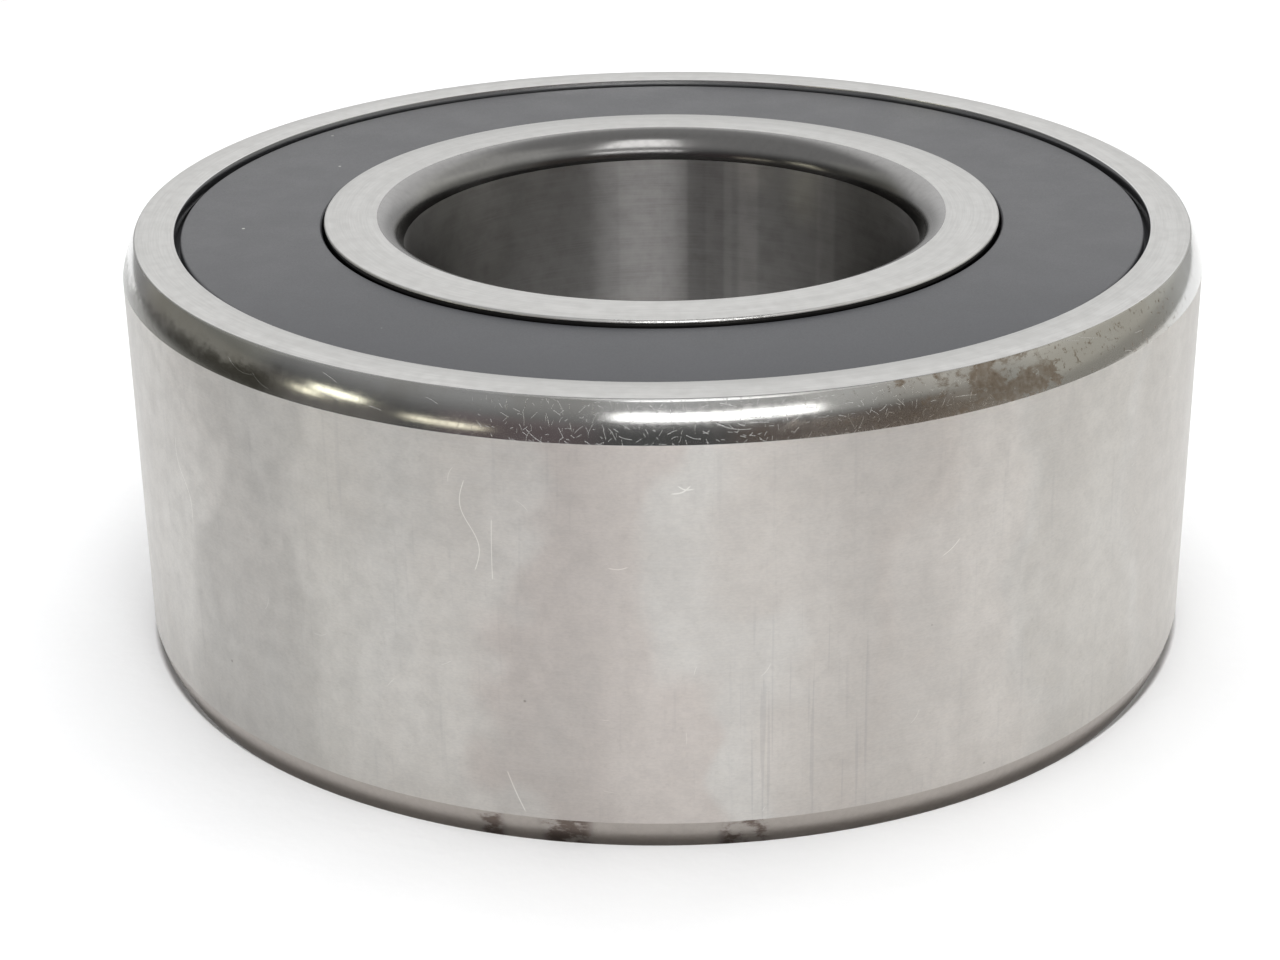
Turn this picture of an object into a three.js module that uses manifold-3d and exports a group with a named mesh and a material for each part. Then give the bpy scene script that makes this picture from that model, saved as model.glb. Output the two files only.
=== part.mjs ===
// A sealed spherical roller bearing, 30 x 62 x 25 mm: two rows of barrel rollers between an inner ring with
// two raceways and an outer ring with one spherical raceway, so that the inner ring can swivel in the outer.
// Millimetres, +Z along the bearing's axis, origin at the centre of the bearing, which is the centre of the
// spherical raceway.
import * as THREE from "three";
import { mergeVertices } from "three/addons/utils/BufferGeometryUtils.js";
import Module from "manifold-3d";

// Boundary dimensions.
const BORE_DIAMETER = 30;
const OUTSIDE_DIAMETER = 62;
const WIDTH = 25;

// Rollers. The contact angle is the slope of the line from the bearing's centre to a roller's centre.
const ROLLERS_PER_ROW = 15;
const ROLLER_DIAMETER = 8.2;
const ROLLER_LENGTH = 7.2;
const ROLLER_BARREL_RADIUS = 26.5;
const ROLLER_END_CHAMFER = 0.45;
const CONTACT_ANGLE = THREE.MathUtils.degToRad(12);

// Raceways.
const OUTER_RACEWAY_RADIUS = 27.4;
const INNER_RACEWAY_ARC_RADIUS = 27;
const RUNNING_GAP = 0.12;

// Rings, seals and cages.
const OUTER_FACE_INNER_RADIUS = 27.98;
const OUTER_CORNER = { radial: 0.8, axial: 2.1, radius: 7 };
const SHOULDER_RADIUS = 19.5;
const BORE_CORNER = { radial: 1.48, axial: 1.75, radius: 1.85 };
const EDGE_BREAK = 0.12;
const SEAL_GROOVE_RADIUS = 28.7;
const SEAL_FACE_RECESS = 0.32;
const SEAL_LIP_RADIUS = 19.66;
const STIFFENER_THICKNESS = 0.55;
const CAGE_SHEET = 0.9;
const POCKET_CLEARANCE = 0.25;
const GUIDE_RING_OUTER_RADIUS = 24.05;

// Facets round each ring.
const RING_SEGMENTS = 48;
const CAGE_SEGMENTS = 2 * ROLLERS_PER_ROW;
const ROLLER_SEGMENTS = 12;

const outerRadius = OUTSIDE_DIAMETER / 2;
const boreRadius = BORE_DIAMETER / 2;
const halfWidth = WIDTH / 2;
const rollerRadius = ROLLER_DIAMETER / 2;
const halfRoller = ROLLER_LENGTH / 2;
const rollerCentreDistance = OUTER_RACEWAY_RADIUS - rollerRadius - RUNNING_GAP;

// Directions in the half plane (r, z) of an upper roller: along its axis, away from the bearing's middle, and
// square to that axis, away from the bearing's axis.
const alongRoller = new THREE.Vector2(-Math.sin(CONTACT_ANGLE), Math.cos(CONTACT_ANGLE));
const acrossRoller = new THREE.Vector2(Math.cos(CONTACT_ANGLE), Math.sin(CONTACT_ANGLE));
const rollerCentre = acrossRoller.clone().multiplyScalar(rollerCentreDistance);

// The point u along and v across an upper roller, counted from the roller's centre.
function atRoller(u, v) {
  return rollerCentre.clone().addScaledVector(alongRoller, u).addScaledVector(acrossRoller, v);
}

// [[r, z], ...] as points.
function outline(pairs) {
  return pairs.map(([r, z]) => new THREE.Vector2(r, z));
}

// Points along an arc between two points. The arc's centre is on the right of the way from one to the other for
// side 1, and on the left for side -1.
function arc([fromR, fromZ], [toR, toZ], radius, side, steps) {
  const from = new THREE.Vector2(fromR, fromZ);
  const to = new THREE.Vector2(toR, toZ);
  const chord = to.clone().sub(from);
  const half = chord.length() / 2;
  const toCentre = new THREE.Vector2(chord.y, -chord.x).normalize().multiplyScalar(side);
  const rise = Math.sqrt(radius ** 2 - half ** 2);
  const centre = from.clone().add(to).multiplyScalar(0.5).addScaledVector(toCentre, rise);
  const turn = -side * 2 * Math.asin(half / radius);
  const points = [];
  for (let i = 0; i <= steps; i++) {
    points.push(from.clone().rotateAround(centre, (turn * i) / steps));
  }
  return points;
}

// The same points below the bearing's middle plane, in reverse order, which keeps an outline's direction.
function mirrored(points) {
  return points.map((p) => new THREE.Vector2(p.x, -p.y)).reverse();
}

// Revolves a closed outline, listed anticlockwise in (r, z), about Z.
function revolved(points, segments) {
  const closed = [...points, points[0].clone()];
  return new THREE.LatheGeometry(closed, segments).rotateX(Math.PI / 2);
}

function ringMaterial(color, roughness, metalness) {
  return new THREE.MeshStandardMaterial({ color, roughness, metalness });
}

const groundSteel = ringMaterial(0xbdbbb6, 0.32, 1);
const rollerSteel = ringMaterial(0xc9cacb, 0.12, 1);
const cageSteel = ringMaterial(0x8e8c86, 0.42, 1);
const guideSteel = ringMaterial(0x77746f, 0.5, 1);
const stiffenerSteel = ringMaterial(0x9a9a98, 0.4, 1);
const sealRubber = ringMaterial(0x1d1f22, 0.42, 0);

// The outer ring: a spherical raceway shared by both rows, and at each side a groove that holds a seal.
function outerRing() {
  const racewayEnd = 9.4;
  const seatFloor = 10.12;
  const grooveTop = 11.55;
  const raceway = [];
  const racewaySteps = 4;
  for (let i = 0; i <= racewaySteps; i++) {
    const z = (racewayEnd * i) / racewaySteps;
    raceway.push(new THREE.Vector2(Math.sqrt(OUTER_RACEWAY_RADIUS ** 2 - z ** 2), z));
  }
  const seat = outline([
    [raceway.at(-1).x, seatFloor],
    [SEAL_GROOVE_RADIUS, seatFloor],
    [SEAL_GROOVE_RADIUS, grooveTop],
    [OUTER_FACE_INNER_RADIUS, grooveTop + 0.2],
    [OUTER_FACE_INNER_RADIUS, halfWidth - EDGE_BREAK],
    [OUTER_FACE_INNER_RADIUS + EDGE_BREAK, halfWidth],
  ]);
  const corner = arc(
    [outerRadius - OUTER_CORNER.radial, halfWidth],
    [outerRadius, halfWidth - OUTER_CORNER.axial],
    OUTER_CORNER.radius,
    1,
    3,
  );
  const upper = [...raceway, ...seat, ...corner];
  const lower = mirrored(upper.slice(1));
  // From the bottom up the inside and then down the outside is clockwise, so the outline is reversed.
  return revolved([...lower, ...upper].reverse(), RING_SEGMENTS);
}

// The inner ring: two concave raceways with a narrow land between them, a rib outside each, and the ground
// shoulders on which the seal lips run.
function innerRing() {
  const racewayDistance = rollerCentreDistance - rollerRadius - RUNNING_GAP;
  const arcCentre = acrossRoller.clone().multiplyScalar(racewayDistance + INNER_RACEWAY_ARC_RADIUS);
  const racewayStart = -3.16;
  const racewayEnd = 3.9;
  const steps = 3;
  const raceway = [];
  for (let i = 0; i <= steps; i++) {
    const u = racewayStart + ((racewayEnd - racewayStart) * i) / steps;
    const depth = Math.sqrt(INNER_RACEWAY_ARC_RADIUS ** 2 - u ** 2);
    raceway.push(
      arcCentre.clone().addScaledVector(acrossRoller, -depth).addScaledVector(alongRoller, u),
    );
  }
  const ribFoot = raceway.at(-1);
  const ribRise = (SHOULDER_RADIUS - ribFoot.x) / acrossRoller.x;
  const ribTop = ribFoot.clone().addScaledVector(acrossRoller, ribRise);
  const face = outline([
    [SHOULDER_RADIUS, halfWidth - EDGE_BREAK],
    [SHOULDER_RADIUS - EDGE_BREAK, halfWidth],
  ]);
  const boreCorner = arc(
    [boreRadius + BORE_CORNER.radial, halfWidth],
    [boreRadius, halfWidth - BORE_CORNER.axial],
    BORE_CORNER.radius,
    -1,
    3,
  );
  const upper = [...raceway, ribTop, ...face, ...boreCorner];
  return revolved([...mirrored(upper), ...upper], RING_SEGMENTS);
}

// One barrel roller, standing on Z.
function roller() {
  const radiusAt = (u) =>
    rollerRadius - ROLLER_BARREL_RADIUS + Math.sqrt(ROLLER_BARREL_RADIUS ** 2 - u ** 2);
  const barrelEnd = halfRoller - ROLLER_END_CHAMFER;
  const side = [-barrelEnd, 0, barrelEnd].map((u) => new THREE.Vector2(radiusAt(u), u));
  const flat = radiusAt(barrelEnd) - ROLLER_END_CHAMFER;
  const points = [
    new THREE.Vector2(0, -halfRoller),
    new THREE.Vector2(flat, -halfRoller),
    ...side,
    new THREE.Vector2(flat, halfRoller),
    new THREE.Vector2(0, halfRoller),
  ];
  return new THREE.LatheGeometry(points, ROLLER_SEGMENTS).rotateX(Math.PI / 2);
}

// The loose ring between the rows. Its sides lie along the rollers' inner ends.
function guideRing() {
  const landClearance = 0.18;
  const endGap = 0.14;
  const boreR = SHOULDER_RADIUS + 0.125 + landClearance;
  // Height of the roller end's plane, less the gap, at radius r.
  const sideHeight = (r) => {
    const base = atRoller(-halfRoller - endGap, 0);
    const v = (r - base.x) / acrossRoller.x;
    return base.y + v * acrossRoller.y;
  };
  const upper = outline([
    [GUIDE_RING_OUTER_RADIUS, 0],
    [GUIDE_RING_OUTER_RADIUS, sideHeight(GUIDE_RING_OUTER_RADIUS)],
    [boreR, sideHeight(boreR)],
  ]);
  return revolved([...mirrored(upper.slice(1)), ...upper], RING_SEGMENTS);
}

// manifold-3d's solid of a closed three.js geometry.
function solidOf(wasm, geometry) {
  const bare = geometry.clone();
  bare.deleteAttribute("normal");
  bare.deleteAttribute("uv");
  const merged = mergeVertices(bare, 1e-4);
  const mesh = new wasm.Mesh({
    numProp: 3,
    vertProperties: new Float32Array(merged.attributes.position.array),
    triVerts: new Uint32Array(merged.index.array),
  });
  return new wasm.Manifold(mesh);
}

function geometryOf(solid) {
  const mesh = solid.getMesh();
  return new THREE.BufferGeometry()
    .setAttribute("position", new THREE.BufferAttribute(mesh.vertProperties, 3))
    .setIndex(new THREE.BufferAttribute(mesh.triVerts, 1));
}

// Where roller number i of a row stands. The upper row has side 1 and the lower row -1, half a pitch on.
function rollerPlace(i, side) {
  const pitch = (2 * Math.PI) / ROLLERS_PER_ROW;
  const spoke = new THREE.Group();
  spoke.rotation.z = (i + (side > 0 ? 0 : 0.5)) * pitch;
  const seat = new THREE.Group();
  seat.position.set(rollerCentre.x, 0, side * rollerCentre.y);
  seat.rotation.y = -side * CONTACT_ANGLE;
  spoke.add(seat);
  spoke.updateMatrixWorld(true);
  return { spoke, seat };
}

// A cage of one row: a cone of sheet steel outside the pitch line, turned in past the rollers' outer ends, with
// a pocket for each roller.
function cage(wasm, side) {
  const inside = 0.9;
  const outside = inside + CAGE_SHEET;
  const innerRim = -4.6;
  const flangeInside = halfRoller + 0.2;
  const flangeOutside = flangeInside + 0.7;
  const flangeTip = -1.8;
  const upper = [
    atRoller(innerRim, inside),
    atRoller(innerRim, outside),
    atRoller(flangeInside, outside),
    atRoller(flangeOutside, inside),
    atRoller(flangeOutside, flangeTip),
    atRoller(flangeInside, flangeTip),
    atRoller(flangeInside, inside),
  ];
  const shell = revolved(side > 0 ? upper : mirrored(upper), CAGE_SEGMENTS);
  const pocketSides = 12;
  const pocketRadius = rollerRadius + POCKET_CLEARANCE;
  const pocketLength = 2 * flangeInside - 0.1;
  let solid = solidOf(wasm, shell);
  for (let i = 0; i < ROLLERS_PER_ROW; i++) {
    const pocket = new THREE.CylinderGeometry(pocketRadius, pocketRadius, pocketLength, pocketSides)
      .rotateX(Math.PI / 2)
      .applyMatrix4(rollerPlace(i, side).seat.matrixWorld);
    solid = solid.subtract(solidOf(wasm, pocket));
  }
  return geometryOf(solid);
}

// The moulded rubber of an upper seal: a bead in the outer ring's groove, a flat cover, and a lip beside the
// inner ring's shoulder. A pocket on the inside holds the stiffener.
function sealRubberOutline() {
  const face = halfWidth - SEAL_FACE_RECESS;
  const rim = OUTER_FACE_INNER_RADIUS - 0.36;
  const underside = 10.34;
  const pocketTop = underside + STIFFENER_THICKNESS + 0.05;
  const cover = outline([
    [SEAL_LIP_RADIUS + 0.1, face],
    [SEAL_LIP_RADIUS, face - 0.1],
    [SEAL_LIP_RADIUS, face - 0.45],
    [SEAL_LIP_RADIUS + 0.4, face - 0.9],
    [SEAL_LIP_RADIUS + 0.06, face - 1.3],
    [SEAL_LIP_RADIUS + 0.55, underside],
    [20.9, underside],
    [20.9, pocketTop],
    [27.35, pocketTop],
    [27.35, underside],
    [SEAL_GROOVE_RADIUS - 0.2, underside],
    [SEAL_GROOVE_RADIUS - 0.15, 11.2],
    [rim, 11.5],
    [rim, face - 0.3],
    [rim - 0.3, face],
  ]);
  return cover;
}

// The steel washer in an upper seal.
function stiffenerOutline() {
  const gap = 0.1;
  return outline([
    [20.9 + gap, 10.34],
    [27.35 - gap, 10.34],
    [27.35 - gap, 10.34 + STIFFENER_THICKNESS],
    [20.9 + gap, 10.34 + STIFFENER_THICKNESS],
  ]);
}

function named(name, geometry, material) {
  const mesh = new THREE.Mesh(geometry, material);
  mesh.name = name;
  return mesh;
}

async function bearing() {
  const wasm = await Module();
  wasm.setup();
  const group = new THREE.Group();
  group.add(named("outer_ring", outerRing(), groundSteel));
  group.add(named("inner_ring", innerRing(), groundSteel));
  group.add(named("guide_ring", guideRing(), guideSteel));
  const rows = [
    ["upper", 1],
    ["lower", -1],
  ];
  for (const [row, side] of rows) {
    const turned = (points) => revolved(side > 0 ? points : mirrored(points), RING_SEGMENTS);
    group.add(named(`${row}_seal`, turned(sealRubberOutline()), sealRubber));
    group.add(named(`${row}_seal_stiffener`, turned(stiffenerOutline()), stiffenerSteel));
    group.add(named(`${row}_cage`, cage(wasm, side), cageSteel));
    for (let i = 0; i < ROLLERS_PER_ROW; i++) {
      const { spoke, seat } = rollerPlace(i, side);
      const number = String(i + 1).padStart(2, "0");
      seat.add(named(`${row}_roller_${number}`, roller(), rollerSteel));
      group.add(spoke);
    }
  }
  return group;
}

export default await bearing();
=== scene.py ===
"""A sealed spherical roller bearing lying on a white table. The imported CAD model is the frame, and each of its
nodes is remade here as a finer mesh with a procedural material. Outlines and tables are in millimetres."""

import math

import bmesh
import bpy
from mathutils import Matrix, Vector


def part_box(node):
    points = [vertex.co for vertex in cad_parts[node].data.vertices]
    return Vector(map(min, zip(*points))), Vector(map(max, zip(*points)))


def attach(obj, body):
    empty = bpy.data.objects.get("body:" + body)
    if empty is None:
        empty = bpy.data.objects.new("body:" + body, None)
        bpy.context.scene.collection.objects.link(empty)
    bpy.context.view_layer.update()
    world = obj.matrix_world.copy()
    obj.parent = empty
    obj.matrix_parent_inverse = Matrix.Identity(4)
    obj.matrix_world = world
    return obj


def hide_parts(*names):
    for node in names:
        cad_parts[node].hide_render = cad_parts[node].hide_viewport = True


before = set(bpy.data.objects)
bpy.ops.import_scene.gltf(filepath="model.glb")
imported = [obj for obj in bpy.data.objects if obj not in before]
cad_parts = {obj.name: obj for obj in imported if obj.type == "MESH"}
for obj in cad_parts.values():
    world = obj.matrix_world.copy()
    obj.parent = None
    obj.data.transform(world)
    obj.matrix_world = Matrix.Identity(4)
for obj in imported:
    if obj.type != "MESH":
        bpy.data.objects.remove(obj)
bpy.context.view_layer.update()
scene = bpy.context.scene

MM = 0.001
ring_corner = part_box("outer_ring")[1]
OUTER_RADIUS = ring_corner.x / MM
HALF_WIDTH = ring_corner.z / MM
BORE_RADIUS = 15.0
ROWS = (("upper", 1), ("lower", -1))
ROLLERS_PER_ROW = 15

# Two lengths within TINY are the same. A stretch of outline within SKIN of a surface belongs to it.
TINY = 1e-6
SKIN = 0.004

# The outer ring: the inner edge of its side face, its corners, its raceway and the groove that holds a seal.
FACE_INNER = 27.98
CORNER_RADIAL = 0.8
CORNER_AXIAL = 2.1
CORNER_ARC = 7.0
RACEWAY = 27.4
RACEWAY_END = 9.4
GROOVE_FLOOR = 28.7
GROOVE_LOW = 10.12
GROOVE_HIGH = 11.55
GROOVE_LIP = 11.75

# The inner ring: its shoulder, the mouth of its bore, its raceways, and their ends from a roller's centre.
SHOULDER = 19.5
MOUTH_RADIAL = 1.48
MOUTH_AXIAL = 1.75
MOUTH_ARC = 1.85
INNER_RACEWAY = 27.0
INNER_RACEWAY_ENDS = (-3.16, 3.9)

# The rollers: their place, their size and their barrel's curve. They clear both raceways by the running gap.
CONTACT = math.radians(12)
ROLLER_RADIUS = 4.1
ROLLER_HALF_LENGTH = 3.6
ROLLER_BARREL = 26.5
ROLLER_BARREL_END = 3.15
RUNNING_GAP = 0.12
CENTRE_DISTANCE = RACEWAY - ROLLER_RADIUS - RUNNING_GAP
ALONG = Vector((-math.sin(CONTACT), math.cos(CONTACT)))
ACROSS = Vector((math.cos(CONTACT), math.sin(CONTACT)))

# The cages' windows, the guide ring between the rows, and the seals with their washers.
WINDOW_HALF_LENGTH = 3.75
WINDOW_GAP = 0.25
GUIDE_RADIUS = 24.05
GUIDE_GAP = 0.305
GUIDE_SIDE = -3.74
SEAL_RECESS = 0.32
SEAL_LIP = 19.66
SEAL_UNDERSIDE = 10.34
WASHER_INNER = 21.0
WASHER_OUTER = 27.25
WASHER_TOP = 10.89


# ---------------------------------------------------------------- camera

def add_camera():
    """The photograph's view: from the front, looking down about 22 degrees."""
    data = bpy.data.cameras.new("camera")
    data.sensor_width = 36
    data.lens = 73.0
    data.clip_start = 0.005
    data.clip_end = 50
    camera = bpy.data.objects.new("camera", data)
    scene.collection.objects.link(camera)
    place = Vector((0, -144.64, 58.42)) * MM
    aim = Vector((-1.426, 0, -4.931)) * MM
    look = (aim - place).to_track_quat("-Z", "Y").to_matrix().to_4x4()
    roll = Matrix.Rotation(math.radians(-0.73), 4, "Z")
    camera.matrix_world = Matrix.Translation(place) @ look @ roll
    scene.camera = camera


add_camera()


# ---------------------------------------------------------------- outlines, as (r, z) points in millimetres

def arc(start, end, radius, side, steps):
    """Points along an arc. Going from start to end, its centre is on the right for side 1, or left for -1."""
    a = Vector(start)
    b = Vector(end)
    chord = b - a
    half = chord.length / 2
    to_centre = Vector((chord.y, -chord.x)).normalized() * side
    centre = (a + b) / 2 + to_centre * math.sqrt(radius ** 2 - half ** 2)
    turn = -side * 2 * math.asin(half / radius)
    points = []
    for i in range(steps + 1):
        spoke = (a - centre).copy()
        spoke.rotate(Matrix.Rotation(turn * i / steps, 2))
        points.append(tuple(centre + spoke))
    return points


def mirrored(points):
    """The same outline on the other side of the middle plane."""
    return [(r, -z) for r, z in reversed(points)]


def softened(points, radii, steps=3):
    """The closed outline with its corners rounded: radii maps a point's index to its rounding."""
    out = []
    count = len(points)
    for i, point in enumerate(points):
        if i not in radii:
            out.append(tuple(point))
            continue
        p = Vector(point)
        before = Vector(points[i - 1]) - p
        after = Vector(points[(i + 1) % count]) - p
        bend = before.angle(after)
        reach = min(radii[i] / math.tan(bend / 2), 0.45 * before.length, 0.45 * after.length)
        radius = reach * math.tan(bend / 2)
        start = p + before.normalized() * reach
        end = p + after.normalized() * reach
        centre = p + (before.normalized() + after.normalized()).normalized() * (radius / math.sin(bend / 2))
        a = start - centre
        b = end - centre
        swing = a.angle(b)
        for k in range(steps + 1):
            t = k / steps
            spoke = (a * math.sin((1 - t) * swing) + b * math.sin(t * swing)) / math.sin(swing)
            out.append(tuple(centre + spoke))
    return out


def lathe(name, points, segments, crease=28, zones=None):
    """Turns a closed outline about Z. Edges that bend by more than crease degrees look sharp.

    zones(r, z) gives the material index at the middle of a stretch.
    """
    area = 0
    count = len(points)
    for i in range(count):
        r0, z0 = points[i]
        r1, z1 = points[(i + 1) % count]
        area += r0 * z1 - r1 * z0
    if area < 0:
        points = points[::-1]
    mesh = bpy.data.meshes.new(name)
    bm = bmesh.new()
    loops = []
    for r, z in points:
        if r < TINY:
            loops.append([bm.verts.new((0, 0, z * MM))] * segments)
            continue
        loop = []
        for k in range(segments):
            angle = 2 * math.pi * k / segments
            loop.append(bm.verts.new((r * math.cos(angle) * MM, r * math.sin(angle) * MM, z * MM)))
        loops.append(loop)
    for i in range(count):
        a = loops[i]
        b = loops[(i + 1) % count]
        if a[0] is a[1] and b[0] is b[1]:
            continue
        r0, z0 = points[i]
        r1, z1 = points[(i + 1) % count]
        index = zones((r0 + r1) / 2, (z0 + z1) / 2) if zones else 0
        for k in range(segments):
            n = (k + 1) % segments
            corners = [a[k], a[n], b[n], b[k]]
            unique = list(dict.fromkeys(corners))
            face = bm.faces.new(unique)
            face.smooth = True
            face.material_index = index
    bm.normal_update()
    for edge in bm.edges:
        if len(edge.link_faces) == 2 and edge.calc_face_angle(0) > math.radians(crease):
            edge.smooth = False
    bm.to_mesh(mesh)
    bm.free()
    piece = bpy.data.objects.new(name, mesh)
    scene.collection.objects.link(piece)
    return piece


# ---------------------------------------------------------------- materials

class Graph:
    """Short names for building a node tree."""

    def __init__(self, tree):
        self.tree = tree
        tree.nodes.clear()

    def add(self, kind, inputs=None, **settings):
        node = self.tree.nodes.new(kind)
        for key, value in settings.items():
            setattr(node, key, value)
        for key, value in (inputs or {}).items():
            socket = node.inputs[key]
            if isinstance(value, bpy.types.NodeSocket):
                self.tree.links.new(value, socket)
            else:
                socket.default_value = value
        return node

    def math(self, operation, a, b=0.0, clamp=False):
        return self.add("ShaderNodeMath", {0: a, 1: b}, operation=operation, use_clamp=clamp).outputs[0]

    def ramp(self, value, low, high, out_low=0.0, out_high=1.0):
        inputs = {"Value": value, "From Min": low, "From Max": high, "To Min": out_low, "To Max": out_high}
        return self.add("ShaderNodeMapRange", inputs, interpolation_type="SMOOTHSTEP").outputs[0]

    def window(self, value, low, high, soft):
        """1 between low and high, falling to 0 over a width of soft outside them."""
        rise = self.ramp(value, low - soft, low)
        fall = self.ramp(value, high, high + soft, 1.0, 0.0)
        return self.math("MULTIPLY", rise, fall)

    def mix(self, factor, a, b, blend="MIX"):
        inputs = {0: factor, 6: a, 7: b}
        return self.add("ShaderNodeMix", inputs, data_type="RGBA", blend_type=blend).outputs[2]

    def noise(self, vector, scale, detail=3.0, roughness=0.5, distortion=0.0):
        inputs = {"Vector": vector, "Scale": scale, "Detail": detail, "Roughness": roughness}
        inputs["Distortion"] = distortion
        return self.add("ShaderNodeTexNoise", inputs).outputs["Fac"]

    def combine(self, x, y, z):
        return self.add("ShaderNodeCombineXYZ", {0: x, 1: y, 2: z}).outputs[0]


def colour(r, g, b):
    return (r, g, b, 1.0)


class Surface(Graph):
    """A material with coordinates about the bearing's axis, in millimetres."""

    def __init__(self, name):
        self.material = bpy.data.materials.new(name)
        self.material.use_nodes = True
        super().__init__(self.material.node_tree)
        metres = self.add("ShaderNodeTexCoord").outputs["Object"]
        to_mm = {0: metres, "Scale": 1 / MM}
        self.place = self.add("ShaderNodeVectorMath", to_mm, operation="SCALE").outputs[0]
        parts = self.add("ShaderNodeSeparateXYZ", {0: self.place})
        self.x, self.y, self.z = parts.outputs
        flat = self.combine(self.x, self.y, 0.0)
        self.r = self.add("ShaderNodeVectorMath", {0: flat}, operation="LENGTH").outputs["Value"]
        away = self.math("MULTIPLY", self.y, -1.0)
        turn = self.math("ARCTAN2", self.x, away)
        self.angle = self.math("MULTIPLY", turn, 180 / math.pi)

    def lines(self, along, coarse, fine):
        """Grinding marks that run round the axis, spaced along the given coordinate."""
        x = self.math("MULTIPLY", self.x, 0.06)
        y = self.math("MULTIPLY", self.y, 0.06)
        broad = self.noise(self.combine(x, y, self.math("MULTIPLY", along, coarse)), 1.0, 2.0)
        x = self.math("MULTIPLY", self.x, 0.35)
        y = self.math("MULTIPLY", self.y, 0.35)
        thin = self.noise(self.combine(x, y, self.math("MULTIPLY", along, fine)), 1.0, 2.0)
        return self.math("ADD", self.math("MULTIPLY", broad, 0.4), self.math("MULTIPLY", thin, 0.6))

    def around(self):
        """Distance round the outside, from the front towards the right."""
        return self.math("MULTIPLY", self.angle, math.pi / 180 * OUTER_RADIUS)

    def dashes(self, v, cell, length, width, share, seed, slant=None):
        """Short scratches, at most one to a cell: 1 on a scratch. They point any way unless slant is set."""
        u = self.math("ADD", self.around(), seed * 31.7)
        spot = self.combine(u, self.math("ADD", v, seed * 7.3), 0.0)
        grid = {"Vector": spot, "Scale": 1.0 / cell}
        cells = self.add("ShaderNodeTexVoronoi", grid, voronoi_dimensions="2D")
        middle = cells.outputs["Position"]
        away = self.add("ShaderNodeVectorMath", {0: spot, 1: middle}, operation="SUBTRACT").outputs[0]
        du, dv, _ = self.add("ShaderNodeSeparateXYZ", {0: away}).outputs
        chance, spin, size = self.add("ShaderNodeSeparateColor", {0: cells.outputs["Color"]}).outputs
        if slant is None:
            turn = self.math("MULTIPLY", spin, 2 * math.pi)
        else:
            turn = self.ramp(spin, 0.0, 1.0, math.radians(slant - 9), math.radians(slant + 9))
        c = self.math("COSINE", turn)
        d = self.math("SINE", turn)
        along = self.math("ADD", self.math("MULTIPLY", du, c), self.math("MULTIPLY", dv, d))
        across = self.math("SUBTRACT", self.math("MULTIPLY", dv, c), self.math("MULTIPLY", du, d))
        bow = self.math("MULTIPLY", self.math("MULTIPLY", along, along), self.math("SUBTRACT", size, 0.5))
        across = self.math("ABSOLUTE", self.math("ADD", across, self.math("MULTIPLY", bow, 1.1 / length)))
        share_of_length = self.math("ADD", self.math("MULTIPLY", size, 0.7), 0.3)
        reach = self.math("DIVIDE", self.math("ABSOLUTE", along), share_of_length)
        line = self.ramp(across, 0.3 * width, width, 1.0, 0.0)
        ends = self.ramp(reach, 0.3 * length, 0.55 * length, 1.0, 0.0)
        kept = self.ramp(chance, 1.0 - share, 1.02 - share)
        return self.math("MULTIPLY", self.math("MULTIPLY", line, ends), kept)

    def scratch(self, start, end, bow, width, waves=1):
        """One scratch on the outside, between two (distance round, z) points, bowed sideways in waves."""
        length = math.dist(start, end)
        du = (end[0] - start[0]) / length
        dz = (end[1] - start[1]) / length
        u = self.math("SUBTRACT", self.around(), start[0])
        z = self.math("SUBTRACT", self.z, start[1])
        along = self.math("ADD", self.math("MULTIPLY", u, du), self.math("MULTIPLY", z, dz))
        across = self.math("SUBTRACT", self.math("MULTIPLY", z, du), self.math("MULTIPLY", u, dz))
        swing = self.math("SINE", self.math("MULTIPLY", along, math.pi * waves / length))
        gap = self.math("ABSOLUTE", self.math("ADD", across, self.math("MULTIPLY", swing, bow)))
        line = self.ramp(gap, 0.4 * width, width, 1.0, 0.0)
        return self.math("MULTIPLY", line, self.window(along, 0.0, length, 0.2))

    def finish(self, base, roughness, metallic, height, lift, anisotropic=0.0, specular=0.5):
        """Joins the shader up and returns the material. lift is the height of the relief in metres."""
        inputs = {"Base Color": base, "Roughness": roughness, "Metallic": metallic}
        inputs["Specular IOR Level"] = specular
        bump = {"Height": height, "Strength": 1.0, "Distance": lift}
        inputs["Normal"] = self.add("ShaderNodeBump", bump).outputs[0]
        if anisotropic:
            inputs["Anisotropic"] = anisotropic
            inputs["Anisotropic Rotation"] = 0.25
            tangent = self.add("ShaderNodeTangent", direction_type="RADIAL", axis="Z")
            inputs["Tangent"] = tangent.outputs[0]
        shader = self.add("ShaderNodeBsdfPrincipled", inputs)
        self.add("ShaderNodeOutputMaterial", {"Surface": shader.outputs[0]})
        return self.material


# Broad upright bands of painted reflection on the outside, lighter or darker round the ring: where they lie
# round the ring, as low, high and soft edge in degrees from the front towards the right, and what they do to the
# steel's colour.
PAINTED_REFLECTION_BANDS = (
    ((-49, -41, 5), (0.84, 0.84, 0.84)),
    ((-36, -32, 5), (0.95, 0.95, 0.95)),
    ((-22, -16, 4), (1.04, 1.035, 1.03)),
    ((-12.5, 1.5, 3), (0.94, 0.90, 0.89)),
    ((11, 21, 4), (0.955, 0.935, 0.925)),
    ((24, 34, 6), (1.05, 1.03, 1.02)),
    ((42, 50, 5), (0.94, 0.93, 0.92)),
    ((60, 74, 8), (0.94, 0.93, 0.92)),
    ((104, 160, 12), (0.88, 0.87, 0.86)),
    ((-172, -164, 6), (0.94, 0.93, 0.92)),
    ((-150, -120, 9), (0.90, 0.88, 0.86)),
)

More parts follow.
